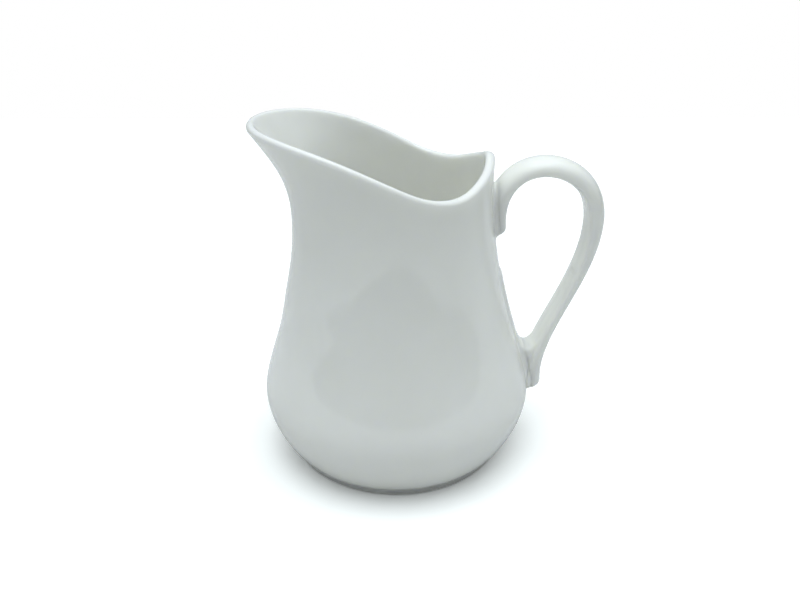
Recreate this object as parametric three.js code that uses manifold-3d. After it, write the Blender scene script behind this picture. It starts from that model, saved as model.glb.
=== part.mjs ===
// A white glazed porcelain pitcher: a thin cast vessel whose lip sweeps up into a flared spout, a bare foot
// ring, and a looped strap handle that is luted to the wall with slip at both ends.
// Millimetres, +Z up. The vessel's axis is the Z axis of the `jug` group, the handle is on its +X side, the
// spout on its -X side, and it stands on z = 0. The group is shifted along X so that the model's origin is
// on the table in the middle of the overall footprint.

import * as THREE from 'three';
import { mergeVertices } from 'three/addons/utils/BufferGeometryUtils.js';
import Module from 'manifold-3d';

// ---- Driving dimensions ----

const BELLY_RADIUS = 60;
const BELLY_HEIGHT = 28.5;
const NECK_RADIUS = 39.8;
const NECK_HEIGHT = 136;
const SHOULDER_RADIUS = 50.9; // where the belly starts, just above the foot
const SHOULDER_HEIGHT = 5;
const SHOULDER_LEAN = 0.7; // radians from the vertical

const WALL = 3.3;
const FLOOR_HEIGHT = 7.5; // inside floor
const FLOOR_RADIUS = 33; // flat part of the inside floor
const BOWL_HEIGHT = 24; // below this the inside rounds off into the floor

const FOOT_OUTER = 48.4;
const FOOT_INNER = 43;
const FOOT_BARE = 1.2; // height of the unglazed ring
const FOOT_EDGE = 0.6; // rounding of the ring's lower edges
const FOOT_WALL_HEIGHT = 3.4; // the upright foot wall ends here and hollows out into the belly
const RECESS_HEIGHT = 3.6; // underside inside the ring

// Height of the lip at an angle in degrees from the handle: low at the sides, a small peak where the handle
// springs, and a long sweep up to the spout.
const LIP_HEIGHTS = [[0, 136.4], [15, 134], [30, 130.9], [45, 127.9], [60, 127.3], [75, 129.4], [90, 133.7],
  [120, 142.6], [150, 148.1], [180, 149.2]];

// The lip is rounded over with these half-axes: inwards, outwards and upwards. It is heavier on the handle's
// side, where its outer edge is rounded more than its inner edge and stands out a little from the neck.
const LIP_SECTION = [WALL / 2, WALL / 2, WALL / 2];
const HANDLE_LIP_SECTION = [1.3, 2.6, 1.5];
const HANDLE_SIDE = [45, 80]; // degrees from the handle where the heavier lip is full and where it ends
const LIP_SWELL = 0.3;
const LIP_SWELL_DEPTH = 14;

// How far the spout reaches beyond the round wall at each height, and how narrow it is in plan.
const SPOUT_REACH = [[55, 0], [75, 1.3], [92, 1.8], [106, 2.8], [118, 4.5], [130, 8.8], [147, 20.2]];
const SPOUT_END_SLOPE = 0.75;
const SPOUT_FOCUS_LOW = 2.9;
const SPOUT_FOCUS_HIGH = 2.2;
const PINCH_DEPTH = 0.8; // the slight waist on both sides of the spout
const PINCH_ANGLE = 2.65;
const PINCH_FOCUS = 5.2;

// The handle's centreline in the plane y = 0: up along the neck, over the loop, and down along the belly.
const HANDLE_ROOT = new THREE.Vector2(42, 106);
const HANDLE_ROOT_PULL = new THREE.Vector2(38.9, 141);
const HANDLE_BACK_PULL_UP = new THREE.Vector2(84.2, 138.5);
const HANDLE_BACK = new THREE.Vector2(84.2, 106.3);
const HANDLE_BACK_PULL_DOWN = new THREE.Vector2(84.2, 78.5);
const HANDLE_HEEL_PULL = new THREE.Vector2(60.6, 53.2);
const HANDLE_HEEL = new THREE.Vector2(63, 29.4);
const STRAP_WIDTH = 16;
const STRAP_THICKNESS = [[0, 8.3], [0.15, 7], [0.35, 8.1], [0.55, 6.5], [0.78, 5.1], [1, 7.3]];
// The strap's section is domed on its outer side and nearly flat on its hole side.
const STRAP_INNER = 0.2; // share of the thickness that lies on the hole side of the widest level
const INNER_SQUARENESS = 3; // exponents of the rounded section, 2 would be an ellipse
const OUTER_SQUARENESS = 2.1;
const ROOT_TONGUE = 5; // how far the rounded ends run past the centreline's ends
const ROOT_LEAN = 3.6; // how far the upper tongue sinks towards the wall
const HEEL_TONGUE = 2.6;
const WEB_INSET = 1; // the web's flat sides lie this far inside the strap's
const WEB_BEVEL = 0.8;

const SLIP_THICKNESS = 0.9;
const SLIP_MARGIN = 0.9; // how far the slip squeezes out around the handle's ends
const GAP = 0.3; // between neighbouring pieces

const AROUND = 60; // facets around the vessel
const BELLY_ROWS = 5;
const WALL_ROWS = 15;
const LIP_ROWS = 5;
const INSIDE_ROWS = 16;
const BOWL_ROWS = 5;
const STRAP_ROWS = 44;
const STRAP_SIDES = 20;
const FILL_ROWS = 40;

// ---- Materials ----

const porcelain = (name, colour, roughness) => {
  const material = new THREE.MeshStandardMaterial({ color: colour, roughness, metalness: 0 });
  material.name = name;
  return material;
};

// ---- Curves ----

// A smooth curve y(x) through the given points, with the slope fixed at both ends (a clamped cubic spline).
function smoothThrough(points, startSlope, endSlope) {
  const count = points.length;
  const step = (i) => points[i + 1][0] - points[i][0];
  const rise = (i) => (points[i + 1][1] - points[i][1]) / step(i);
  const upper = [0];
  const slopes = [startSlope];
  for (let i = 1; i < count - 1; i += 1) {
    const before = 1 / step(i - 1);
    const after = 1 / step(i);
    const target = 3 * (rise(i - 1) * before + rise(i) * after);
    const pivot = 2 * (before + after) - before * upper[i - 1];
    upper.push(after / pivot);
    slopes.push((target - before * slopes[i - 1]) / pivot);
  }
  slopes.push(endSlope);
  for (let i = count - 2; i > 0; i -= 1) {
    slopes[i] -= upper[i] * slopes[i + 1];
  }
  return (x) => {
    let i = 0;
    while (i < count - 2 && x > points[i + 1][0]) {
      i += 1;
    }
    const width = step(i);
    const t = (x - points[i][0]) / width;
    const a = points[i][1];
    const b = points[i + 1][1];
    const bend = (slopes[i] * (1 - t) - slopes[i + 1] * t) * width - (b - a) * (1 - 2 * t);
    return a + (b - a) * t + t * (1 - t) * bend;
  };
}

// The round vessel's outline as radius over height: two cubic arcs that meet upright at the belly.
const shoulder = new THREE.Vector2(SHOULDER_RADIUS, SHOULDER_HEIGHT);
const belly = new THREE.Vector2(BELLY_RADIUS, BELLY_HEIGHT);
const neck = new THREE.Vector2(NECK_RADIUS, NECK_HEIGHT);
const lowerOutline = new THREE.CubicBezierCurve(
  shoulder,
  shoulder.clone().add(new THREE.Vector2(Math.sin(SHOULDER_LEAN), Math.cos(SHOULDER_LEAN)).multiplyScalar(5.2)),
  belly.clone().add(new THREE.Vector2(0, -8.9)),
  belly,
);
const upperOutline = new THREE.CubicBezierCurve(
  belly,
  belly.clone().add(new THREE.Vector2(0, 16)),
  neck.clone().add(new THREE.Vector2(0, -60)),
  neck,
);

function outlineRadius(height) {
  if (height >= NECK_HEIGHT) {
    return NECK_RADIUS;
  }
  const outline = height < BELLY_HEIGHT ? lowerOutline : upperOutline;
  let low = 0;
  let high = 1;
  for (let i = 0; i < 40; i += 1) {
    const middle = (low + high) / 2;
    if (outline.getPoint(middle).y < height) {
      low = middle;
    } else {
      high = middle;
    }
  }
  return outline.getPoint(low).x;
}

const lipCurve = smoothThrough(LIP_HEIGHTS, 0, 0);
const reachCurve = smoothThrough(SPOUT_REACH, 0, SPOUT_END_SLOPE);
const thicknessCurve = smoothThrough(STRAP_THICKNESS, 0, 0);

function lipHeight(angle) {
  const turn = Math.abs(THREE.MathUtils.euclideanModulo(angle + Math.PI, 2 * Math.PI) - Math.PI);
  return lipCurve(THREE.MathUtils.radToDeg(turn));
}

// ---- The vessel's wall as a surface over angle and height ----

// 1 where the lip is heavier, on the handle's side, and 0 round the spout.
function handleSide(angle) {
  const turn = Math.abs(THREE.MathUtils.euclideanModulo(angle + Math.PI, 2 * Math.PI) - Math.PI);
  return 1 - THREE.MathUtils.smoothstep(THREE.MathUtils.radToDeg(turn), ...HANDLE_SIDE);
}

const lipSection = (angle) =>
  LIP_SECTION.map((size, i) => THREE.MathUtils.lerp(size, HANDLE_LIP_SECTION[i], handleSide(angle)));

const nearLip = (depth) => 1 - THREE.MathUtils.smoothstep(depth, 0, LIP_SWELL_DEPTH);

function outerRadius(angle, height) {
  const swell = LIP_SWELL * handleSide(angle) * nearLip(lipHeight(angle) - height);
  const round = outlineRadius(height) + swell;
  const start = SPOUT_REACH[0][0];
  const end = SPOUT_REACH[SPOUT_REACH.length - 1][0];
  if (height <= start) {
    return round;
  }
  const rise = (height - start) / (end - start);
  const focus = THREE.MathUtils.lerp(SPOUT_FOCUS_LOW, SPOUT_FOCUS_HIGH, rise);
  const spout = reachCurve(height) * Math.exp(focus * (-Math.cos(angle) - 1));
  const side = (centre) => Math.exp(PINCH_FOCUS * (Math.cos(angle - centre) - 1));
  const pinch = PINCH_DEPTH * rise * rise * (side(PINCH_ANGLE) + side(-PINCH_ANGLE));
  return round + spout - pinch;
}

function outerPoint(angle, height) {
  const radius = outerRadius(angle, height);
  return new THREE.Vector3(radius * Math.cos(angle), radius * Math.sin(angle), height);
}

function outwardNormal(angle, height) {
  const turn = 1e-3;
  const lift = 1e-2;
  const around = outerPoint(angle + turn, height).sub(outerPoint(angle - turn, height));
  const up = outerPoint(angle, height + lift).sub(outerPoint(angle, height - lift));
  return around.cross(up).normalize();
}

function wallPoint(angle, height, offset) {
  return outerPoint(angle, height).addScaledVector(outwardNormal(angle, height), offset);
}

// ---- Mesh helpers ----

// A closed body from a stack of equal rings between two end points. Each ring runs anticlockwise seen from
// the side that the stack ends on.
function stackRings(first, rings, last) {
  const sides = rings[0].length;
  const points = [first, ...rings.flat(), last];
  const faces = [];
  for (let i = 0; i < sides; i += 1) {
    const next = (i + 1) % sides;
    faces.push(0, 1 + next, 1 + i);
    for (let row = 0; row < rings.length - 1; row += 1) {
      const here = 1 + row * sides;
      const above = here + sides;
      faces.push(here + i, here + next, above + next);
      faces.push(here + i, above + next, above + i);
    }
    const top = 1 + (rings.length - 1) * sides;
    faces.push(top + i, top + next, points.length - 1);
  }
  const geometry = new THREE.BufferGeometry().setFromPoints(points);
  geometry.setIndex(faces);
  return geometry;
}

const turns = Array.from({ length: AROUND }, (_, i) => (2 * Math.PI * i) / AROUND);

const roundRing = (radius, height) =>
  turns.map((angle) => new THREE.Vector3(radius * Math.cos(angle), radius * Math.sin(angle), height));

const wasm = await Module();
wasm.setup();

function toSolid(geometry) {
  const bare = geometry.clone();
  bare.deleteAttribute('normal');
  bare.deleteAttribute('uv');
  const merged = mergeVertices(bare);
  return new wasm.Manifold(new wasm.Mesh({
    numProp: 3,
    vertProperties: new Float32Array(merged.attributes.position.array),
    triVerts: new Uint32Array(merged.index.array),
  }));
}

function toGeometry(solid) {
  const mesh = solid.getMesh();
  const geometry = new THREE.BufferGeometry();
  geometry.setAttribute('position', new THREE.BufferAttribute(mesh.vertProperties, 3));
  geometry.setIndex(new THREE.BufferAttribute(mesh.triVerts, 1));
  return geometry;
}

// ---- Body shell: wall, lip, spout, inside floor and underside in one cast piece ----

function bodyShell() {
  const footTop = FOOT_BARE + GAP;
  const lipTop = (angle) => lipHeight(angle) - lipSection(angle)[2];
  const levelRing = (height) => turns.map((angle) => outerPoint(angle, height));
  const wallRing = (share, bottom, depth) => turns.map((angle) => {
    const height = THREE.MathUtils.lerp(bottom, lipTop(angle), share);
    return wallPoint(angle, height, -depth(angle, height));
  });

  const underside = [
    roundRing(21, RECESS_HEIGHT),
    roundRing(FOOT_INNER - 1, RECESS_HEIGHT),
    roundRing(FOOT_INNER, footTop),
    roundRing(FOOT_OUTER, footTop),
    roundRing(FOOT_OUTER + 0.2, FOOT_WALL_HEIGHT),
    roundRing(FOOT_OUTER + 1, FOOT_WALL_HEIGHT + 0.7),
  ];

  const outside = [];
  for (let row = 0; row < BELLY_ROWS; row += 1) {
    outside.push(levelRing(THREE.MathUtils.lerp(SHOULDER_HEIGHT, BELLY_HEIGHT, row / BELLY_ROWS)));
  }
  for (let row = 0; row <= WALL_ROWS; row += 1) {
    outside.push(wallRing(row / WALL_ROWS, BELLY_HEIGHT, () => 0));
  }

  // The lip's rounding is carried along the rim, square to it at every point.
  const lipCentre = (angle) => wallPoint(angle, lipTop(angle), -lipSection(angle)[1]);
  const lip = [];
  for (let row = 1; row < LIP_ROWS; row += 1) {
    const swing = (Math.PI * row) / LIP_ROWS;
    lip.push(turns.map((angle) => {
      const [inwards, outwards, upwards] = lipSection(angle);
      const outward = outwardNormal(angle, lipTop(angle));
      const along = lipCentre(angle + 1e-3).sub(lipCentre(angle - 1e-3)).normalize();
      const upward = outward.clone().cross(along).normalize();
      return lipCentre(angle)
        .addScaledVector(outward, (swing < Math.PI / 2 ? outwards : inwards) * Math.cos(swing))
        .addScaledVector(upward, upwards * Math.sin(swing));
    }));
  }

  const thickness = (angle, height) => {
    const [inwards, outwards] = lipSection(angle);
    return WALL + (inwards + outwards - WALL) * nearLip(lipTop(angle) - height);
  };
  const inside = [];
  for (let row = INSIDE_ROWS; row >= 0; row -= 1) {
    inside.push(wallRing(row / INSIDE_ROWS, BOWL_HEIGHT, thickness));
  }

  // Below the wall the inside rounds into the flat floor.
  const edge = wallPoint(0, BOWL_HEIGHT, -WALL);
  const bowl = new THREE.CubicBezierCurve(
    new THREE.Vector2(edge.x, edge.z),
    new THREE.Vector2(edge.x - 0.6, edge.z - 9),
    new THREE.Vector2(FLOOR_RADIUS + 12, FLOOR_HEIGHT),
    new THREE.Vector2(FLOOR_RADIUS, FLOOR_HEIGHT),
  );
  const floor = [];
  for (let row = 1; row <= BOWL_ROWS; row += 1) {
    const point = bowl.getPoint(row / BOWL_ROWS);
    floor.push(roundRing(point.x, point.y));
  }
  floor.push(roundRing(16, FLOOR_HEIGHT));

  return stackRings(
    new THREE.Vector3(0, 0, RECESS_HEIGHT),
    [...underside, ...outside, ...lip, ...inside, ...floor],
    new THREE.Vector3(0, 0, FLOOR_HEIGHT),
  );
}

// ---- Foot ring: the bare resting rim, flat below with rounded edges ----

function footRing() {
  const outline = new THREE.Path();
  outline.moveTo(FOOT_INNER + FOOT_EDGE, 0);
  outline.lineTo(FOOT_OUTER - FOOT_EDGE, 0);
  outline.absarc(FOOT_OUTER - FOOT_EDGE, FOOT_EDGE, FOOT_EDGE, -Math.PI / 2, 0, false);
  outline.lineTo(FOOT_OUTER, FOOT_BARE);
  outline.lineTo(FOOT_INNER, FOOT_BARE);
  outline.lineTo(FOOT_INNER, FOOT_EDGE);
  outline.absarc(FOOT_INNER + FOOT_EDGE, FOOT_EDGE, FOOT_EDGE, Math.PI, 1.5 * Math.PI, false);
  const geometry = new THREE.LatheGeometry(outline.getPoints(2), AROUND);
  return geometry.rotateX(Math.PI / 2);
}

// ---- Handle ----

const handleLoop = new THREE.CurvePath();
handleLoop.add(new THREE.CubicBezierCurve(HANDLE_ROOT, HANDLE_ROOT_PULL, HANDLE_BACK_PULL_UP, HANDLE_BACK));
handleLoop.add(new THREE.CubicBezierCurve(HANDLE_BACK, HANDLE_BACK_PULL_DOWN, HANDLE_HEEL_PULL, HANDLE_HEEL));

// One section of the strap, square to its centreline at `share` of the way along it. `swing` (degrees) carries
// it on round the tongue at that end, down to a point at 90, and `margin` makes it larger all round.
function strapSection(share, swing, margin) {
  const centre = handleLoop.getPointAt(share);
  const ahead = handleLoop.getPointAt(Math.min(1, share + 1e-3));
  const behind = handleLoop.getPointAt(Math.max(0, share - 1e-3));
  const along = ahead.sub(behind).normalize();
  const outward = new THREE.Vector2(-along.y, along.x);
  const past = Math.sin(THREE.MathUtils.degToRad(swing));
  const scale = Math.cos(THREE.MathUtils.degToRad(swing));
  const tongue = (share === 0 ? -ROOT_TONGUE : HEEL_TONGUE) + Math.sign(share - 0.5) * margin;
  const lean = share === 0 ? ROOT_LEAN * past ** 2 : 0;
  const thickness = thicknessCurve(share);
  centre.addScaledVector(along, tongue * past);
  centre.addScaledVector(outward, thickness * (STRAP_INNER - 0.5) + lean);
  const bulge = (value, power) => Math.sign(value) * Math.abs(value) ** (2 / power);
  return Array.from({ length: STRAP_SIDES }, (_, i) => {
    const angle = (-2 * Math.PI * i) / STRAP_SIDES;
    const outer = Math.cos(angle) > 0;
    const power = outer ? OUTER_SQUARENESS : INNER_SQUARENESS;
    const height = thickness * (outer ? 1 - STRAP_INNER : STRAP_INNER) + margin;
    const out = height * bulge(Math.cos(angle), power) * scale;
    return new THREE.Vector3(
      centre.x + outward.x * out,
      (STRAP_WIDTH / 2 + margin) * bulge(Math.sin(angle), power) * scale,
      centre.y + outward.y * out,
    );
  });
}

function strapGeometry(margin) {
  const rings = [];
  for (const swing of [75, 50, 25]) {
    rings.push(strapSection(0, swing, margin));
  }
  for (let row = 0; row <= STRAP_ROWS; row += 1) {
    rings.push(strapSection(row / STRAP_ROWS, 0, margin));
  }
  for (const swing of [25, 50, 75]) {
    rings.push(strapSection(1, swing, margin));
  }
  return stackRings(strapSection(0, 90, margin)[0], rings, strapSection(1, 90, margin)[0]);
}

// The web that fills the crotch between the strap's lower end and the belly, with a hollow upper edge that
// runs from inside the strap down into the wall.
function webGeometry(margin) {
  const halfWidth = STRAP_WIDTH / 2 - WEB_INSET + margin;
  const outline = new THREE.Shape();
  outline.moveTo(54, 29);
  outline.lineTo(63.6, 29);
  outline.lineTo(68.9, 57.2);
  outline.quadraticCurveTo(62, 49.3 + margin, 54, 48.3 + margin);
  const geometry = new THREE.ExtrudeGeometry(outline, {
    depth: 2 * halfWidth,
    bevelThickness: WEB_BEVEL,
    bevelSize: WEB_BEVEL,
    bevelOffset: -WEB_BEVEL,
    bevelSegments: 2,
    curveSegments: 5,
  });
  geometry.translate(0, 0, -halfWidth);
  return geometry.rotateX(Math.PI / 2);
}

// Everything within `offset` of the vessel's outer surface, filled solid, between two levels that lie beyond
// both ends of the handle.
function wallSolid(offset) {
  const bottom = 10;
  const top = 134;
  const rings = Array.from({ length: FILL_ROWS + 1 }, (_, row) =>
    turns.map((angle) => wallPoint(angle, THREE.MathUtils.lerp(bottom, top, row / FILL_ROWS), offset)));
  return toSolid(stackRings(new THREE.Vector3(0, 0, bottom), rings, new THREE.Vector3(0, 0, top)));
}

const handleSolid = (margin) => toSolid(strapGeometry(margin)).add(toSolid(webGeometry(margin)));

function handle() {
  return toGeometry(handleSolid(0).subtract(wallSolid(SLIP_THICKNESS + 2 * GAP)));
}

// ---- Slip joints: the thin layers of slip that lute the handle's two ends to the wall ----

function slipJoints() {
  const layer = wallSolid(SLIP_THICKNESS + GAP).subtract(wallSolid(GAP));
  return handleSolid(SLIP_MARGIN).intersect(layer).decompose()
    .map((solid) => ({ geometry: toGeometry(solid), height: solid.boundingBox().max[2] }))
    .sort((a, b) => b.height - a.height);
}

// ---- Assembly ----

function place(name, geometry, material) {
  const mesh = new THREE.Mesh(geometry, material);
  mesh.name = name;
  return mesh;
}

const jug = new THREE.Group();
const [upperJoint, lowerJoint] = slipJoints();
jug.add(
  place('body_shell', bodyShell(), porcelain('white_glaze', 0xe9ebe8, 0.12)),
  place('foot_ring', footRing(), porcelain('bare_porcelain', 0xdcd9d0, 0.8)),
  place('handle', handle(), porcelain('white_glaze', 0xe9ebe8, 0.12)),
  place('upper_slip_joint', upperJoint.geometry, porcelain('white_glaze', 0xe9ebe8, 0.16)),
  place('lower_slip_joint', lowerJoint.geometry, porcelain('white_glaze', 0xe9ebe8, 0.16)),
);

const span = new THREE.Box3().setFromObject(jug);
jug.position.x = -(span.min.x + span.max.x) / 2;

const pitcher = new THREE.Group();
pitcher.add(jug);

export default pitcher;
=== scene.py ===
"""A white glazed porcelain pitcher on a pale floor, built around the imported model.

Shapes are worked out in millimetres in the vessel's own frame: its axis is Z, the handle is on +X, the spout
on -X, and it stands on z = 0. to_row() turns them into metres in the row's frame.
"""

import math

import bpy
import numpy as np
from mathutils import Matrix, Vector


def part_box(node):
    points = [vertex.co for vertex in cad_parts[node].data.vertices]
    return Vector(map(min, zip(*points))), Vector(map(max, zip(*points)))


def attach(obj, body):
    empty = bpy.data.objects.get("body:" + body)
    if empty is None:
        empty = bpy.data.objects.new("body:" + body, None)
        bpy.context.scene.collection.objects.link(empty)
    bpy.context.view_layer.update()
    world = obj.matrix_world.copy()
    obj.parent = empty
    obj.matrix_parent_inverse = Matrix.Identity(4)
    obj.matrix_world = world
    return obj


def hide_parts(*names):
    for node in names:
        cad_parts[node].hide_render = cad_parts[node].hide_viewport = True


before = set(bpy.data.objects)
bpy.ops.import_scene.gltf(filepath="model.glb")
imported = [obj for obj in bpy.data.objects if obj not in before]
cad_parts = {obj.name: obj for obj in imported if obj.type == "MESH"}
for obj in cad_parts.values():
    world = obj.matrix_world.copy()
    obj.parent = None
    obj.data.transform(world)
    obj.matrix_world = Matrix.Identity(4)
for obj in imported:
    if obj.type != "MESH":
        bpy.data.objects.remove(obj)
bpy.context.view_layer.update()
foot_low, foot_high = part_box("foot_ring")
AXIS = np.array([(foot_low[0] + foot_high[0]) / 2, (foot_low[1] + foot_high[1]) / 2, foot_low[2]])
MM = 0.001

# ---- Driving dimensions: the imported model's, with the last two lip heights 0.1 lower to stay in its box ----

BELLY = (60.0, 28.5)  # radius, height
BELLY_PULLS = (8.9, 16)  # how far the outline's control points lie below and above it
NECK = (39.8, 136.0)
NECK_PULL = 60
SHOULDER = (50.9, 5.0)  # where the foot wall turns out into the belly
SHOULDER_LEAN = 0.7  # radians out of the upright there
SHOULDER_PULL = 5.2
WALL = 3.3
FLOOR_HEIGHT = 7.5
FLOOR_RADIUS = 33.0
BOWL_HEIGHT = 24.0
FOOT_OUTER = 48.4
FOOT_INNER = 43.0
FOOT_BARE = 1.2  # height of the unglazed rim
RECESS_HEIGHT = 3.6

LIP_HEIGHTS = [(0, 136.4), (15, 134), (30, 130.9), (45, 127.9), (60, 127.3), (75, 129.4), (90, 133.7),
               (120, 142.6), (150, 148), (180, 149.1)]
LIP_SECTION = (WALL / 2, WALL / 2, WALL / 2)  # half-axes of the rounded lip: inwards, outwards, upwards
HANDLE_LIP_SECTION = (1.3, 2.6, 1.5)  # the heavier lip on the handle's side
HANDLE_SIDE = (80, 45)  # degrees from the handle where the heavier lip starts and is full
LIP_SWELL = 0.3  # how far the heavier lip stands out
LIP_SWELL_DEPTH = 14
# Height, and how far the spout stands out beyond the round outline there.
SPOUT_REACH = [(55, 0), (75, 1.3), (92, 1.8), (106, 2.8), (118, 4.5), (130, 8.8), (147, 20.2)]
SPOUT_END_SLOPE = 0.75
SPOUT_FOCUS = (2.9, 2.2)  # how narrowly the spout is gathered, at the lowest and the highest of them
PINCH_DEPTH = 0.8  # the neck is drawn in a little on either side of the spout
PINCH_ANGLE = 2.65
PINCH_FOCUS = 5.2

HANDLE_UP = [(42, 106), (38.9, 141), (84.2, 138.5), (84.2, 106.3)]
HANDLE_DOWN = [(84.2, 106.3), (84.2, 78.5), (60.6, 53.2), (63, 29.4)]
STRAP_WIDTH = 16
STRAP_THICKNESS = [(0, 8.3), (0.15, 7), (0.35, 8.1), (0.55, 6.5), (0.78, 5.1), (1, 7.3)]
STRAP_INNER = 0.2  # share of the thickness that lies on the hole side of the widest level
STRAP_SQUARENESS = (3.0, 2.1)  # exponents of the rounded section on its inner and outer side
ROOT_TONGUE = 5  # how far the rounded ends run past the centreline's ends
ROOT_LEAN = 3.6  # how far the upper tongue sinks towards the wall
HEEL_TONGUE = 2.6
WEB_INSET = 1  # the web's flat sides lie this far inside the strap's

# ---- Details of the visible pieces only ----

FOOT_EDGE = 0.7  # rounding of the rim's lower edges
GLAZE_SEAM = 0.04  # gap between the rim and the glazed body above it
WEB_HEIGHTS = (28.5, 84)
CROTCH_RADIUS = 10.6
JOINT_FILLET = 2.4
CLEARANCE = 0.02  # the handle and its fillets are drawn in by this much
HANDLE_SINK = 0.25  # how far the handle goes into the wall
FILLET_SINK = 0.6  # and the fillets
FILLET_SPREAD = 0.5  # how far a fillet may run past its own radius from the handle
HANDLE_STEP = 0.45  # grid spacing of the meshed handle
JOINT_STEP = 0.4  # and of its fillets


# ---- Curves ----

def bezier(points, t):
    """The cubic Bezier curve through `points` at the values `t`."""
    a, b, c, d = (np.array(p, float) for p in points)
    t = np.asarray(t, float)[..., None]
    return a * (1 - t) ** 3 + 3 * b * t * (1 - t) ** 2 + 3 * c * t * t * (1 - t) + d * t ** 3


def smooth_through(points, start_slope=0.0, end_slope=0.0):
    """A clamped cubic spline through the points, as a function of an array."""
    x, y = np.array(points, float).T
    n = len(x)
    h = np.diff(x)
    rise = np.diff(y) / h
    matrix = np.eye(n)
    target = np.zeros(n)
    target[0], target[-1] = start_slope, end_slope
    for i in range(1, n - 1):
        matrix[i, i - 1:i + 2] = 1 / h[i - 1], 2 / h[i - 1] + 2 / h[i], 1 / h[i]
        target[i] = 3 * (rise[i - 1] / h[i - 1] + rise[i] / h[i])
    slope = np.linalg.solve(matrix, target)

    def curve(value):
        i = np.clip(np.searchsorted(x, value) - 1, 0, n - 2)
        t = (value - x[i]) / h[i]
        bend = (slope[i] * (1 - t) - slope[i + 1] * t) * h[i] - (y[i + 1] - y[i]) * (1 - 2 * t)
        return y[i] + (y[i + 1] - y[i]) * t + t * (1 - t) * bend

    return curve


steps = np.linspace(0, 1, 3000)
lower_outline = bezier([SHOULDER, (SHOULDER[0] + SHOULDER_PULL * math.sin(SHOULDER_LEAN),
                                   SHOULDER[1] + SHOULDER_PULL * math.cos(SHOULDER_LEAN)),
                        (BELLY[0], BELLY[1] - BELLY_PULLS[0]), BELLY], steps)
upper_outline = bezier([BELLY, (BELLY[0], BELLY[1] + BELLY_PULLS[1]), (NECK[0], NECK[1] - NECK_PULL), NECK],
                       steps)
outline = np.vstack([lower_outline, upper_outline[1:]])
lip_curve = smooth_through(LIP_HEIGHTS)
reach_curve = smooth_through(SPOUT_REACH, 0, SPOUT_END_SLOPE)
thickness_curve = smooth_through(STRAP_THICKNESS)


# ---- The vessel's wall as a surface over angle and height ----

def degrees_from_handle(angle):
    return np.degrees(np.abs(np.mod(angle + math.pi, 2 * math.pi) - math.pi))


def lip_height(angle):
    return lip_curve(degrees_from_handle(angle))


def ease(t):
    t = np.clip(t, 0, 1)
    return t * t * (3 - 2 * t)


def handle_side(angle):
    """1 where the lip is heavier, on the handle's side, and 0 round the spout."""
    return ease((HANDLE_SIDE[0] - degrees_from_handle(angle)) / (HANDLE_SIDE[0] - HANDLE_SIDE[1]))


def near_lip(angle, height):
    return handle_side(angle) * ease(1 - (lip_height(angle) - height) / LIP_SWELL_DEPTH)


def lip_section(angle):
    side = handle_side(angle)[..., None]
    section = np.array(LIP_SECTION) * (1 - side) + np.array(HANDLE_LIP_SECTION) * side
    return tuple(np.moveaxis(section, -1, 0))


def outer_radius(angle, height):
    start, end = SPOUT_REACH[0][0], SPOUT_REACH[-1][0]
    rise = np.clip((height - start) / (end - start), 0, None)
    focus = SPOUT_FOCUS[0] + (SPOUT_FOCUS[1] - SPOUT_FOCUS[0]) * rise
    spout = np.where(height > start, reach_curve(height), 0) * np.exp(focus * (-np.cos(angle) - 1))
    pinch = sum(np.exp(PINCH_FOCUS * (np.cos(angle - side) - 1)) for side in (PINCH_ANGLE, -PINCH_ANGLE))
    swell = LIP_SWELL * near_lip(angle, height)
    return np.interp(height, outline[:, 1], outline[:, 0]) + spout - PINCH_DEPTH * rise ** 2 * pinch + swell


def outer_point(angle, height):
    angle, height = np.broadcast_arrays(angle, height)
    radius = outer_radius(angle, height)
    return np.stack([radius * np.cos(angle), radius * np.sin(angle), height], -1)


def unit(v):
    return v / np.linalg.norm(v, axis=-1, keepdims=True)


def outward_normal(angle, height):
    around = outer_point(angle + 1e-3, height) - outer_point(angle - 1e-3, height)
    up = outer_point(angle, height + 0.05) - outer_point(angle, height - 0.05)
    return unit(np.cross(around, up))


def wall_point(angle, height, offset):
    return outer_point(angle, height) + outward_normal(angle, height) * offset


# ---- Meshes ----

def to_row(points):
    return np.asarray(points) * MM + AXIS


def make_mesh(name, points, faces):
    mesh = bpy.data.meshes.new(name)
    mesh.from_pydata(to_row(points).tolist(), [], [list(map(int, f)) for f in faces])
    mesh.update()
    mesh.shade_smooth()
    piece = bpy.data.objects.new(name, mesh)
    bpy.context.scene.collection.objects.link(piece)
    return piece


def stack_rings(first, rings, last):
    """Vertices and faces of a closed body from equal rings between two end points."""
    rings = np.asarray(rings)
    rows, sides = rings.shape[:2]
    points = np.vstack([[first], rings.reshape(-1, 3), [last]])
    i = np.arange(sides)
    j = (i + 1) % sides
    faces = [(0, 1 + b, 1 + a) for a, b in zip(i, j)]
    for row in range(rows - 1):
        here = 1 + row * sides
        above = here + sides
        faces += [(here + a, here + b, above + b, above + a) for a, b in zip(i, j)]
    top = 1 + (rows - 1) * sides
    faces += [(top + a, top + b, len(points) - 1) for a, b in zip(i, j)]
    return points, faces


# ---- Body: foot wall, outside, lip, inside and floor ----

AROUND = 256  # points in a ring
WALL_ROWS = 84
LIP_ROWS = 20
turns = np.arange(AROUND) * 2 * math.pi / AROUND


def round_ring(radius, height):
    return np.stack([radius * np.cos(turns), radius * np.sin(turns), np.full(AROUND, height)], -1)


def round_rings(profile):
    return [round_ring(r, z) for r, z in profile]


def arc(centre, radius, start, end, count):
    """Points on an arc in the radius-height plane, angles in degrees from +radius."""
    a = np.radians(np.linspace(start, end, count))
    return [(centre[0] + radius * math.cos(t), centre[1] + radius * math.sin(t)) for t in a]


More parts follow.
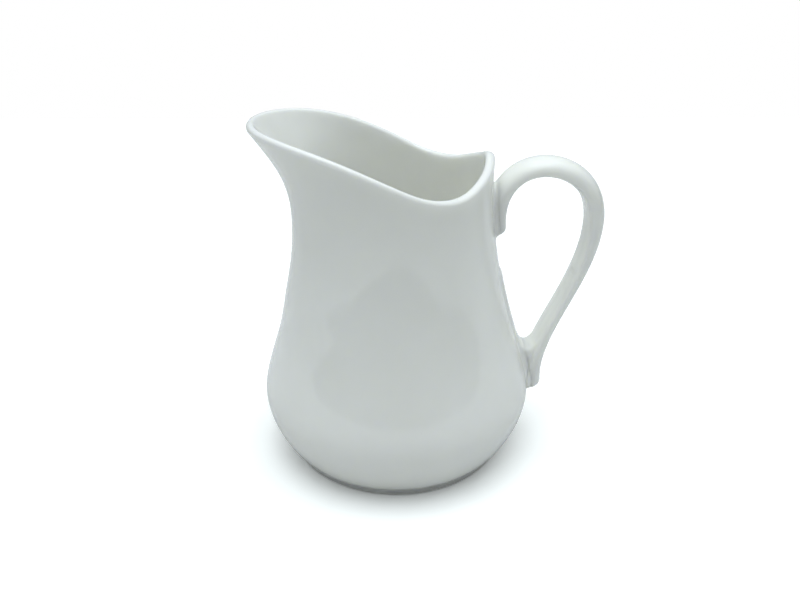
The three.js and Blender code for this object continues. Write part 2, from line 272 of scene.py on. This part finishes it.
def body_piece():
    seam = FOOT_BARE + GLAZE_SEAM
    lip_in, lip_out, lip_up = lip_section(turns)
    lip_top = lip_height(turns) - lip_up

    underside = [(r, RECESS_HEIGHT) for r in (6, 14, 22, 30, 36, 40)]
    underside += arc((40.6, RECESS_HEIGHT - 1.2), 1.2, 90, 20, 6)
    underside += [(FOOT_INNER - 0.8, seam + 0.25)]
    underside += arc((FOOT_INNER - 0.3, seam + 0.3), 0.3, 180, 270, 4)
    underside += [(r, seam) for r in (44.5, 46, 47.5)]
    underside += arc((FOOT_OUTER - 0.26, seam + 0.3), 0.3, 270, 360, 5)
    underside += bezier([(FOOT_OUTER + 0.04, 2.5), (FOOT_OUTER + 0.02, 3.3), (FOOT_OUTER + 0.9, 3.6),
                         SHOULDER], np.linspace(0, 1, 10)[1:-1]).tolist()

    outside = [outer_point(turns, z) for z in np.linspace(SHOULDER[1], BELLY[1], 34)[:-1]]
    outside += [wall_point(turns, BELLY[1] + (lip_top - BELLY[1]) * share, 0)
                for share in np.linspace(0, 1, WALL_ROWS)]

    outward = outward_normal(turns, lip_top)
    centre = outer_point(turns, lip_top) - outward * lip_out[:, None]
    along = unit(np.roll(centre, -1, 0) - np.roll(centre, 1, 0))
    upward = unit(np.cross(outward, along))
    lip = []
    for swing in np.linspace(0, math.pi, LIP_ROWS)[1:-1]:
        reach = np.where(swing < math.pi / 2, lip_out, lip_in) * math.cos(swing)
        lip.append(centre + outward * reach[:, None] + upward * (lip_up * math.sin(swing))[:, None])

    inside = []
    for share in np.linspace(1, 0, WALL_ROWS):
        height = BOWL_HEIGHT + (lip_top - BOWL_HEIGHT) * share
        extra = (lip_in + lip_out - WALL) * ease(1 - (lip_top - height) / LIP_SWELL_DEPTH)
        inside.append(wall_point(turns, height, -(WALL + extra)[:, None]))
    edge = wall_point(0.0, BOWL_HEIGHT, -WALL)
    bowl = bezier([(edge[0], edge[2]), (edge[0] - 0.6, edge[2] - 9), (FLOOR_RADIUS + 12, FLOOR_HEIGHT),
                   (FLOOR_RADIUS, FLOOR_HEIGHT)], np.linspace(0, 1, 26)[1:]).tolist()
    floor = round_rings(bowl + [(r, FLOOR_HEIGHT) for r in (26, 19, 12, 6)])

    rings = round_rings(underside) + outside + lip + inside + floor
    return make_mesh("pitcher_body", *stack_rings((0, 0, RECESS_HEIGHT), rings, (0, 0, FLOOR_HEIGHT)))


def foot_piece():
    """The bare resting rim, ground flat, with small rounded edges."""
    top, edge = FOOT_BARE, FOOT_EDGE
    profile = [(44.5, 0), (46, 0), (47, 0)]
    profile += arc((FOOT_OUTER - edge, edge), edge, -90, 0, 8)
    profile += [(FOOT_OUTER, top - 0.3), (FOOT_OUTER - 0.12, top - 0.1), (FOOT_OUTER - 0.3, top)]
    profile += [(47, top), (45.5, top), (44, top), (FOOT_INNER + 0.3, top), (FOOT_INNER, top - 0.2),
                (FOOT_INNER, edge + 0.1)]
    profile += arc((FOOT_INNER + edge, edge), edge, 180, 270, 8)
    rings = np.array(round_rings(profile))
    rows, sides = rings.shape[:2]
    faces = [(r * sides + i, r * sides + (i + 1) % sides, (r + 1) % rows * sides + (i + 1) % sides,
              (r + 1) % rows * sides + i) for r in range(rows) for i in range(sides)]
    return make_mesh("foot_rim", rings.reshape(-1, 3), faces)


# ---- Handle and joints as implicit surfaces ----

HALVES = np.array([HANDLE_UP, HANDLE_DOWN], float)


def handle_curve(u):
    """The centreline at u (0 to 1 the upper half, 1 to 2 the lower) with its first two derivatives."""
    half = (u > 1).astype(int)
    t = (u - half)[..., None]
    a, b, c, d = (HALVES[half, k] for k in range(4))
    point = a * (1 - t) ** 3 + 3 * b * t * (1 - t) ** 2 + 3 * c * t * t * (1 - t) + d * t ** 3
    first = 3 * ((b - a) * (1 - t) ** 2 + 2 * (c - b) * t * (1 - t) + (d - c) * t * t)
    second = 6 * ((c - 2 * b + a) * (1 - t) + (d - 2 * c + b) * t)
    return point, first, second


fine = np.linspace(0, 2, 4001)
fine_points = handle_curve(fine)[0]
lengths = np.concatenate([[0], np.cumsum(np.linalg.norm(np.diff(fine_points, axis=0), axis=1))])


def along_handle(x, z):
    """For points in the handle's plane: share of the way along, offset outwards, run past either end."""
    x, z = np.broadcast_arrays(x, z)
    flat = np.stack([x.ravel(), z.ravel()], -1)
    coarse = fine[::40]
    guides = fine_points[::40]
    near = ((flat[:, :1] - guides[:, 0]) ** 2 + (flat[:, 1:] - guides[:, 1]) ** 2).argmin(1)
    u = coarse[near]
    for _ in range(4):
        point, first, second = handle_curve(u)
        delta = point - flat
        pull = (delta * first).sum(1)
        bend = (first ** 2).sum(1) + (delta * second).sum(1)
        speed = (first ** 2).sum(1)
        u = np.clip(u - pull / np.maximum(bend, 0.2 * speed), 0, 2)
    point, first, _ = handle_curve(u)
    tangent = unit(first)
    delta = flat - point
    run = (delta * tangent).sum(1)
    offset = delta[:, 1] * tangent[:, 0] - delta[:, 0] * tangent[:, 1]
    past = np.where(((u <= 0) & (run < 0)) | ((u >= 2) & (run > 0)), run, 0)
    part = np.interp(u, fine, lengths) / lengths[-1]
    return tuple(v.reshape(x.shape) for v in (part, offset, past))


def wall_distance(x, y, z):
    """Roughly the distance outside the vessel's outer surface."""
    angle = np.arctan2(y, x)
    radius = outer_radius(angle, z)
    slope = outer_radius(angle, z + 0.5) - outer_radius(angle, z - 0.5)
    return (np.hypot(x, y) - radius) / np.sqrt(1 + slope ** 2)


def blend_round(a, b, r):
    """The union of two distance fields with a fillet of radius r."""
    return np.maximum(r, np.minimum(a, b)) - np.hypot(np.maximum(r - a, 0), np.maximum(r - b, 0))


def cut_round(a, b, r):
    """The part of a that lies inside b, with its new edge rounded over with radius r."""
    return -blend_round(-a, -b, r)


def strap_distance(x, y, z):
    """The distance outside the strap with its rounded ends, and what the web needs to join it."""
    part, offset, past = along_handle(x, z)
    thick = thickness_curve(part)
    lean = ROOT_LEAN * np.clip(-past / ROOT_TONGUE, 0, 1) ** 2
    up = offset - thick * (STRAP_INNER - 0.5) - lean
    inner = up < 0
    height = np.where(inner, thick * STRAP_INNER, thick * (1 - STRAP_INNER))
    power = np.where(inner, *STRAP_SQUARENESS)
    norm = ((np.abs(up) / height) ** power + (np.abs(y) / (STRAP_WIDTH / 2)) ** power) ** (1 / power)
    tongue = np.where(past < 0, ROOT_TONGUE, HEEL_TONGUE)
    norm = np.hypot(norm, past / tongue)
    reach = np.sqrt(up ** 2 + y ** 2 + past ** 2)
    strap = reach * (1 - 1 / np.maximum(norm, 1e-6))
    return strap, offset, thick, past


def handle_distance(x, y, z):
    strap, offset, thick, past = strap_distance(x, y, z)
    wall = wall_distance(x, y, z)
    # The web in the lower crotch: a thin plate between strap and wall with a hollow upper edge.
    side = np.where(past < 0, -past, np.abs(offset) - thick / 2)
    plate = blend_round(side, wall, CROTCH_RADIUS)
    plate = cut_round(plate, np.abs(y) - (STRAP_WIDTH / 2 - WEB_INSET), 2.0)
    plate = cut_round(plate, np.maximum(WEB_HEIGHTS[0] - z, z - WEB_HEIGHTS[1]), 1.0)
    plate = cut_round(plate, offset, 0.5)
    return blend_round(strap, plate, 1.2), wall


def handle_field(x, y, z):
    handle, wall = handle_distance(x, y, z)
    return np.maximum(handle + CLEARANCE, -HANDLE_SINK - wall)


def joint_field(low, high):
    def field(x, y, z):
        handle, wall = handle_distance(x, y, z)
        fillet = blend_round(handle, wall, JOINT_FILLET) + CLEARANCE
        limit = np.maximum(np.maximum(wall - JOINT_FILLET, -FILLET_SINK - wall),
                           handle - JOINT_FILLET - FILLET_SPREAD)
        limit = np.maximum(limit, np.maximum(low - z, z - high))
        return np.maximum(fillet, limit)

    return field


def surface_net(field, low, high, step):
    """A quad mesh of field = 0 inside a box, one vertex for each crossed cell, pulled onto the surface."""
    axes = [np.arange(a, b + step, step) for a, b in zip(low, high)]
    value = field(*np.meshgrid(*axes, indexing="ij", sparse=True))
    inside = value < 0
    shape = np.array(value.shape) - 1
    total = np.zeros((*shape, 3))
    count = np.zeros(shape)
    corners = [(a, b, c) for a in (0, 1) for b in (0, 1) for c in (0, 1)]

    def at(array, corner):
        return array[tuple(slice(c, c + n) for c, n in zip(corner, shape))]

    for corner in corners:
        for axis in range(3):
            if corner[axis]:
                continue
            other = tuple(1 if k == axis else c for k, c in enumerate(corner))
            va, vb = at(value, corner), at(value, other)
            crossed = (va < 0) != (vb < 0)
            t = np.where(crossed, va / np.where(crossed, va - vb, 1), 0)
            for k in range(3):
                total[..., k] += np.where(crossed, corner[k] + (t if k == axis else 0), 0)
            count += crossed
    active = count > 0
    index = np.full(shape, -1)
    index[active] = np.arange(active.sum())
    cell = np.argwhere(active)
    points = np.array(low) + (cell + total[active] / count[active][:, None]) * step

    quads = []
    for axis in range(3):
        u, v = (axis + 1) % 3, (axis + 2) % 3
        lo = [slice(1, n) for n in shape]
        lo[axis] = slice(0, shape[axis])
        hi = list(lo)
        hi[axis] = slice(1, shape[axis] + 1)
        a, b = inside[tuple(lo)], inside[tuple(hi)]
        edge = np.argwhere(a != b)
        if not len(edge):
            continue
        flip = a[tuple(edge.T)]
        base = edge + 1
        base[:, axis] -= 1
        ring = []
        for du, dv in ((1, 1), (0, 1), (0, 0), (1, 0)):
            cell_at = base.copy()
            cell_at[:, u] -= du
            cell_at[:, v] -= dv
            ring.append(index[tuple(cell_at.T)])
        ring = np.stack(ring, 1)
        ring[~flip] = ring[~flip][:, ::-1]
        quads.append(ring)
    quads = np.vstack(quads)

    tiny = 0.02
    for _ in range(3):
        p = points.T
        here = field(*p)
        slope = np.stack([(field(*(p + tiny * np.eye(3)[k][:, None])) - here) / tiny for k in range(3)], 1)
        size = (slope ** 2).sum(1)
        move = -here[:, None] * slope / np.maximum(size, 0.25)[:, None]
        length = np.linalg.norm(move, axis=1, keepdims=True)
        points = points + move * np.minimum(1, 0.5 * step / np.maximum(length, 1e-9))
    return points, quads


def handle_piece():
    return make_mesh("strap_handle", *surface_net(handle_field, (38, -9.5, 20), (91, 9.5, 140), HANDLE_STEP))


def joint_piece(name, low, high):
    return make_mesh(name, *surface_net(joint_field(low[2] + 1, high[2] - 1), low, high, JOINT_STEP))


# ---- Materials ----

def new_material(name):
    material = bpy.data.materials.new(name)
    material.use_nodes = True
    nodes = material.node_tree.nodes
    return material, nodes, material.node_tree.links, nodes["Principled BSDF"]


def ramp(nodes, stops):
    node = nodes.new("ShaderNodeValToRGB")
    elements = node.color_ramp.elements
    while len(elements) < len(stops):
        elements.new(0.5)
    for element, (position, colour) in zip(elements, stops):
        element.position = position
        element.color = (*colour, 1)
    return node


def noise(nodes, links, source, scale, detail=3.0, roughness=0.5):
    node = nodes.new("ShaderNodeTexNoise")
    node.inputs["Scale"].default_value = scale
    node.inputs["Detail"].default_value = detail
    node.inputs["Roughness"].default_value = roughness
    links.new(source, node.inputs["Vector"])
    return node


def glaze(name, tint, roughness, depth):
    """Clear glaze over white porcelain, with a slightly wavy gloss, a faint cloudy tone and rare fine specks.
    Light spreads `depth` metres under it."""
    material, nodes, links, shader = new_material(name)
    place = nodes.new("ShaderNodeTexCoord").outputs["Object"]

    cloud = noise(nodes, links, place, 22, 4)
    dark = tuple(c * 0.965 for c in tint)
    tone = ramp(nodes, [(0.35, dark), (0.65, tint)])
    links.new(cloud.outputs["Fac"], tone.inputs["Fac"])

    speck = nodes.new("ShaderNodeTexVoronoi")
    speck.inputs["Scale"].default_value = 170
    links.new(place, speck.inputs["Vector"])
    dot = ramp(nodes, [(0.0, (0.55, 0.50, 0.42)), (0.035, (1, 1, 1))])
    links.new(speck.outputs["Distance"], dot.inputs["Fac"])
    mix = nodes.new("ShaderNodeMix")
    mix.data_type = "RGBA"
    mix.blend_type = "MULTIPLY"
    mix.inputs["Factor"].default_value = 0.35
    links.new(tone.outputs["Color"], mix.inputs["A"])
    links.new(dot.outputs["Color"], mix.inputs["B"])
    links.new(mix.outputs["Result"], shader.inputs["Base Color"])

    gloss = nodes.new("ShaderNodeMapRange")
    gloss.inputs["To Min"].default_value = roughness * 0.75
    gloss.inputs["To Max"].default_value = roughness * 1.35
    links.new(noise(nodes, links, place, 60, 5, 0.6).outputs["Fac"], gloss.inputs["Value"])
    links.new(gloss.outputs["Result"], shader.inputs["Roughness"])

    wave = nodes.new("ShaderNodeBump")
    wave.inputs["Strength"].default_value = 0.35
    wave.inputs["Distance"].default_value = 0.0006
    links.new(noise(nodes, links, place, 32, 2).outputs["Fac"], wave.inputs["Height"])
    skin = nodes.new("ShaderNodeBump")
    skin.inputs["Strength"].default_value = 0.10
    skin.inputs["Distance"].default_value = 0.00008
    links.new(noise(nodes, links, place, 420, 3).outputs["Fac"], skin.inputs["Height"])
    links.new(wave.outputs["Normal"], skin.inputs["Normal"])
    links.new(skin.outputs["Normal"], shader.inputs["Normal"])

    shader.inputs["IOR"].default_value = 1.52
    shader.inputs["Subsurface Weight"].default_value = 1.0
    shader.inputs["Subsurface Radius"].default_value = (1.0, 1.0, 0.9)
    shader.inputs["Subsurface Scale"].default_value = depth
    return material


def bare_clay(name, tint):
    """Unglazed fired porcelain: matt, fine-grained and faintly mottled."""
    material, nodes, links, shader = new_material(name)
    place = nodes.new("ShaderNodeTexCoord").outputs["Object"]
    tone = ramp(nodes, [(0.3, tuple(c * 0.86 for c in tint)), (0.7, tint)])
    links.new(noise(nodes, links, place, 90, 6, 0.65).outputs["Fac"], tone.inputs["Fac"])
    links.new(tone.outputs["Color"], shader.inputs["Base Color"])
    grain = nodes.new("ShaderNodeBump")
    grain.inputs["Strength"].default_value = 0.5
    grain.inputs["Distance"].default_value = 0.0001
    links.new(noise(nodes, links, place, 1500, 4, 0.7).outputs["Fac"], grain.inputs["Height"])
    links.new(grain.outputs["Normal"], shader.inputs["Normal"])
    shader.inputs["Roughness"].default_value = 0.8
    return material


def white_sheet(name, seen, bounce):
    """A matt white sheet that the camera sees in the colour `seen` and that lights the object as `bounce`."""
    material, nodes, links, shader = new_material(name)
    shader.inputs["Base Color"].default_value = (*bounce, 1)
    shader.inputs["Roughness"].default_value = 0.9
    shader.inputs["Specular IOR Level"].default_value = 0.0
    bright = nodes.new("ShaderNodeBsdfDiffuse")
    bright.inputs["Color"].default_value = (*seen, 1)
    path = nodes.new("ShaderNodeLightPath")
    choose = nodes.new("ShaderNodeMixShader")
    links.new(path.outputs["Is Camera Ray"], choose.inputs["Fac"])
    links.new(shader.outputs["BSDF"], choose.inputs[1])
    links.new(bright.outputs["BSDF"], choose.inputs[2])
    links.new(choose.outputs["Shader"], nodes["Material Output"].inputs["Surface"])
    return material


# ---- Pieces ----

def finish_piece(piece, node, material):
    piece.data.materials.append(material)
    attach(piece, "root")
    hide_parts(node)


GLAZE_TINT = (0.92, 0.92, 0.875)
finish_piece(body_piece(), "body_shell", glaze("body_glaze", GLAZE_TINT, 0.035, 0.004))
finish_piece(foot_piece(), "foot_ring", bare_clay("bare_porcelain", (0.80, 0.79, 0.75)))
finish_piece(handle_piece(), "handle", glaze("handle_glaze", GLAZE_TINT, 0.035, 0.004))
joint_glaze = glaze("joint_glaze", GLAZE_TINT, 0.04, 0.0005)
finish_piece(joint_piece("upper_slip_fillet", (35, -13, 94), (54, 13, 134)), "upper_slip_joint",
             joint_glaze)
finish_piece(joint_piece("lower_slip_fillet", (41, -13, 18), (68, 13, 88)), "lower_slip_joint",
             joint_glaze)


# ---- Camera ----

VIEW_TURN = math.radians(0.4)  # the pitcher is turned this far, handle away from the camera
VIEW_HEIGHT = math.radians(26.29)
VIEW_DISTANCE = 355.9
VIEW_TARGET = np.array([1.565, 0.0, 69.459])


def in_vessel(v):
    """Turns a vector about the vessel's axis from the view's frame into the vessel's."""
    c, s = math.cos(VIEW_TURN), math.sin(VIEW_TURN)
    return np.array([c * v[0] + s * v[1], -s * v[0] + c * v[1], v[2]])


toward = np.array([0, -math.cos(VIEW_HEIGHT), math.sin(VIEW_HEIGHT)])
camera_data = bpy.data.cameras.new("camera")
camera_data.lens = 36
camera_data.sensor_width = 36
camera = bpy.data.objects.new("camera", camera_data)
bpy.context.scene.collection.objects.link(camera)
camera.location = Vector(to_row(in_vessel(VIEW_TARGET + toward * VIEW_DISTANCE)))
camera.rotation_mode = "QUATERNION"
camera.rotation_quaternion = Vector(-in_vessel(toward)).to_track_quat("-Z", "Y")
bpy.context.scene.camera = camera


# ---- Floor, lights and surroundings ----

def add_floor(size, material):
    half = size / 2
    mesh = bpy.data.meshes.new("floor")
    mesh.from_pydata([(-half, -half, 0), (half, -half, 0), (half, half, 0), (-half, half, 0)], [],
                     [(0, 1, 2, 3)])
    mesh.materials.append(material)
    floor = bpy.data.objects.new("floor", mesh)
    floor.location = (AXIS[0], AXIS[1], 0)
    bpy.context.scene.collection.objects.link(floor)


def surroundings(colour, patches, turn):
    """A dark studio with round soft patches of light, each given in the view's own axes as (direction of its
    middle, cosine at its rim, cosine where it is full, strength). The camera itself sees plain white."""
    world = bpy.data.worlds.new("studio")
    world.use_nodes = True
    nodes, links = world.node_tree.nodes, world.node_tree.links
    nodes.clear()

    def node(kind, **inputs):
        made = nodes.new("ShaderNode" + kind)
        for name, value in inputs.items():
            made.inputs[name.replace("_", " ")].default_value = value
        return made

    place = node("TexCoord")
    turned = node("VectorRotate", Angle=turn)
    turned.rotation_type = "Z_AXIS"
    links.new(place.outputs["Generated"], turned.inputs["Vector"])
    total = None
    for direction, rim, full, strength in patches:
        cosine = node("VectorMath")
        cosine.operation = "DOT_PRODUCT"
        cosine.inputs[1].default_value = Vector(direction).normalized()
        links.new(turned.outputs["Vector"], cosine.inputs[0])
        step = node("MapRange", From_Min=rim, From_Max=full, To_Min=0.0, To_Max=strength)
        step.interpolation_type = "SMOOTHSTEP"
        links.new(cosine.outputs["Value"], step.inputs["Value"])
        add = node("Math")
        add.inputs[0].default_value = 0.0
        if total:
            links.new(total, add.inputs[0])
        links.new(step.outputs["Result"], add.inputs[1])
        total = add.outputs["Value"]
    light = node("Background", Color=(*colour, 1))
    links.new(total, light.inputs["Strength"])
    seen = node("Background", Color=(1, 1, 1, 1))
    path = node("LightPath")
    choose = node("MixShader")
    links.new(path.outputs["Is Camera Ray"], choose.inputs["Fac"])
    links.new(light.outputs["Background"], choose.inputs[1])
    links.new(seen.outputs["Background"], choose.inputs[2])
    out = node("OutputWorld")
    links.new(choose.outputs["Shader"], out.inputs["Surface"])
    bpy.context.scene.world = world


SHEET_SIZE = 1.25  # metres; the glaze mirrors the dark beyond its front edge
STUDIO_LIGHT = (0.93, 1.0, 1.035)
SOFT_PATCHES = [
    ((0, 1, 0), 0.0, 0.9, 0.18),  # behind, wide
    ((0, 1, 0), 0.6, 0.95, 0.25),  # behind, narrower
    ((0, 0, 1), 0.3, 0.9, 0.49),  # overhead, wide
    ((0, 0, 1), 0.7, 0.96, 1.38),  # overhead
    ((0, 0, 1), 0.9, 0.985, 1.2),  # overhead, narrow
    ((0, -0.35, 0.94), 0.9, 0.985, 0.3),  # overhead, tipped towards the camera
    ((-0.6, -0.3, 0.74), 0.7, 0.95, 0.42),  # upper left
    ((0.7, 0, 0.7), 0.7, 0.95, 0.42),  # upper right
]
add_floor(SHEET_SIZE, white_sheet("white_floor", (1.14, 1.13, 1.11), (0.66, 0.66, 0.66)))
surroundings(STUDIO_LIGHT, SOFT_PATCHES, VIEW_TURN)

settings = bpy.context.scene.view_settings
settings.view_transform = "Standard"
settings.look = "None"
